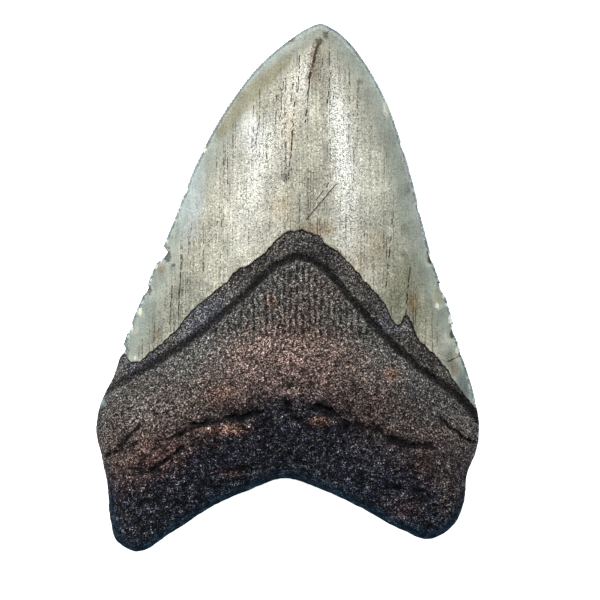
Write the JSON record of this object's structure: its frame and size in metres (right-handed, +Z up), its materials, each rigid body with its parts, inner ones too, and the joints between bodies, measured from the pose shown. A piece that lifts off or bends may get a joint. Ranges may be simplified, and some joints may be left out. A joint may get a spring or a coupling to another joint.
{
  "type": "megalodon tooth",
  "caption": "Large fossil shark tooth with a worn enamel crown, a dark bourlette and a two-lobed root, lying on its labial face.",
  "frame": {"origin": "centre of the tooth's footprint, on the surface that it lies on", "axes": "+Y from the root to the tip, +Z up out of the lingual face, +X across the tooth"},
  "size_m": [0.087, 0.12, 0.0268],
  "materials": {
    "fossil_tooth": "satin"
  },
  "bodies": {
    "root": {"tooth": "fossil_tooth"}
  },
  "joints": []
}
